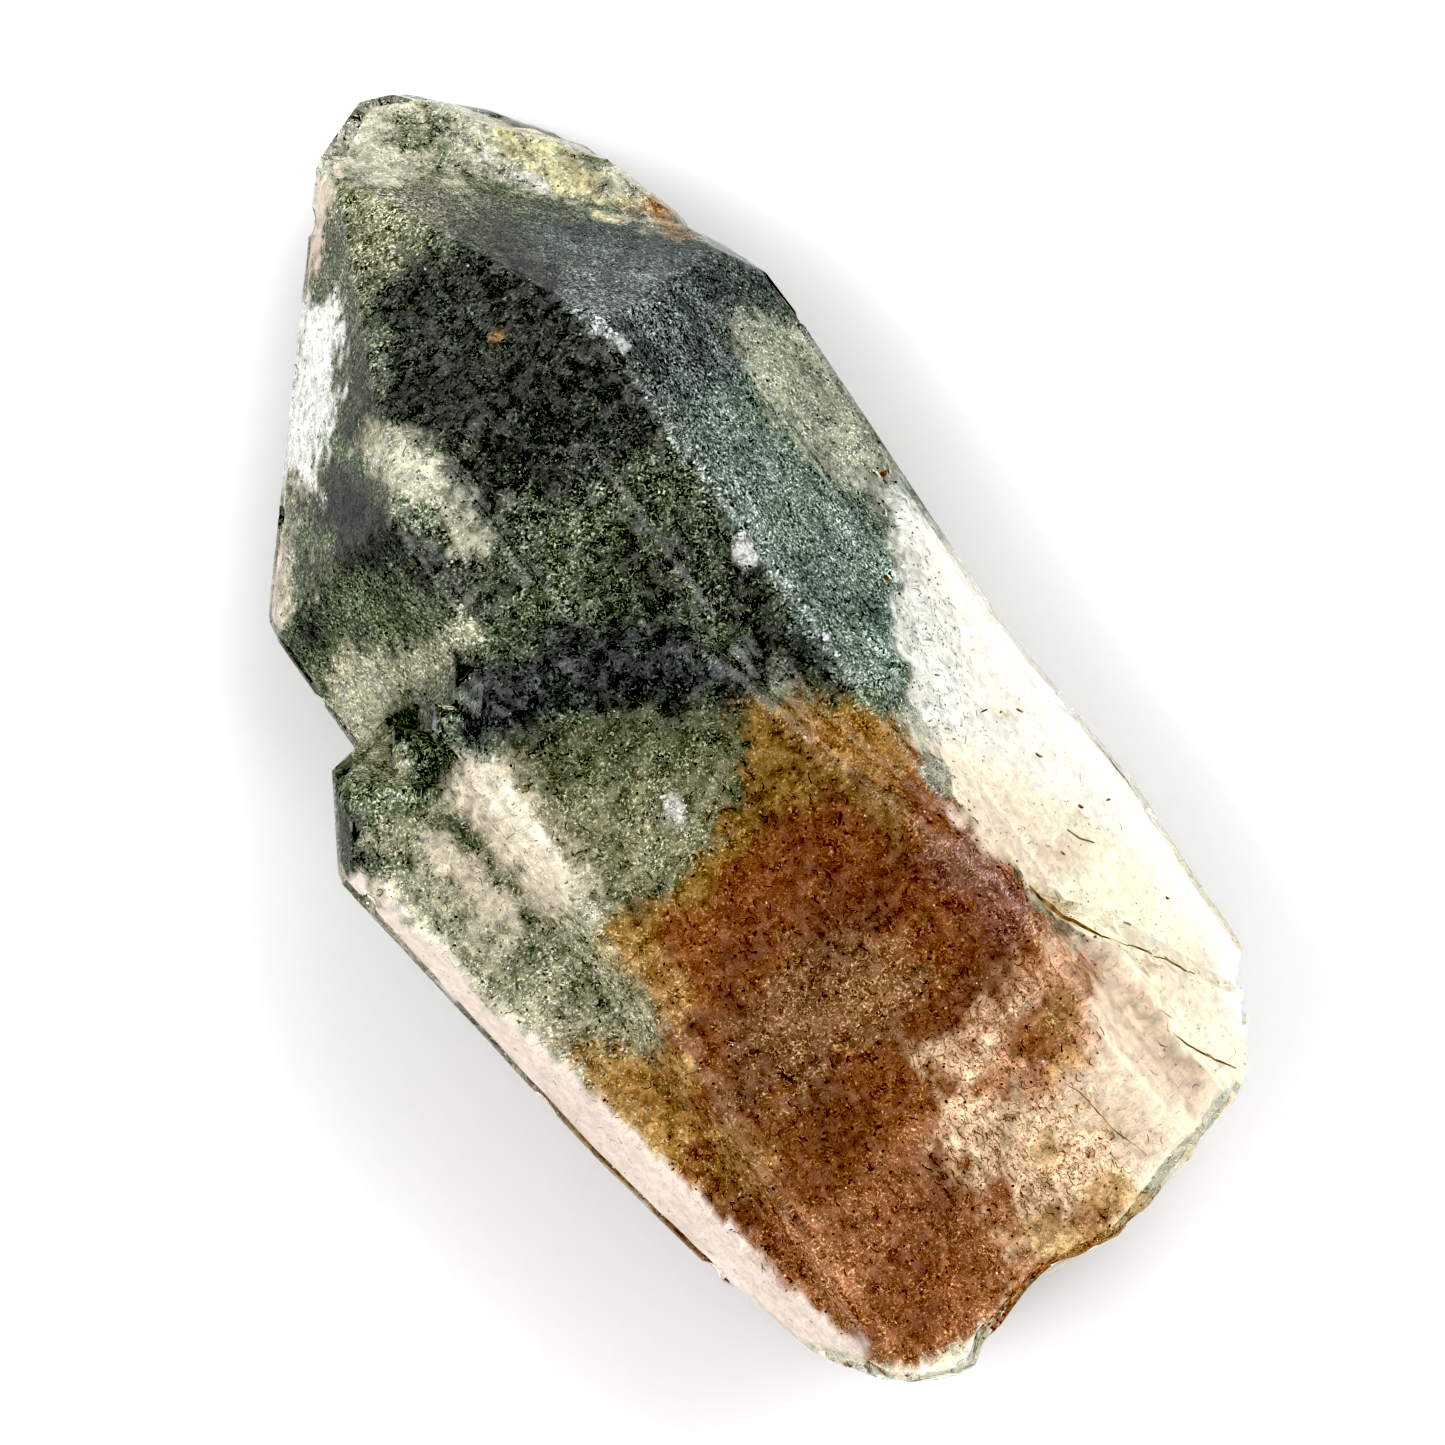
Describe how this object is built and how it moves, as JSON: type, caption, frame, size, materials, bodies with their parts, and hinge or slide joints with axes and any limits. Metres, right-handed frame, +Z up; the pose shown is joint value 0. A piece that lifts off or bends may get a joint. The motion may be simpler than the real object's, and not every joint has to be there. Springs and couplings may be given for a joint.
{
  "type": "chlorite quartz crystal",
  "caption": "Natural quartz crystal cluster with green and brown mineral inclusions, pointed at one end and broken at the other, lying on a flat prism face.",
  "frame": {"origin": "middle of the bounding box, at the level of the prism face that the crystal lies on", "axes": "+Y along the crystals' own axis towards the tip, +X to the right seen from above, +Z up from the resting face"},
  "size_m": [0.039, 0.0768, 0.0273],
  "materials": {
    "quartz": "glossy natural prism faces over cloudy green and brown inclusions, clear at the lower right and along the left edge"
  },
  "bodies": {
    "root": {"quartz_crystal": "quartz"}
  },
  "joints": []
}
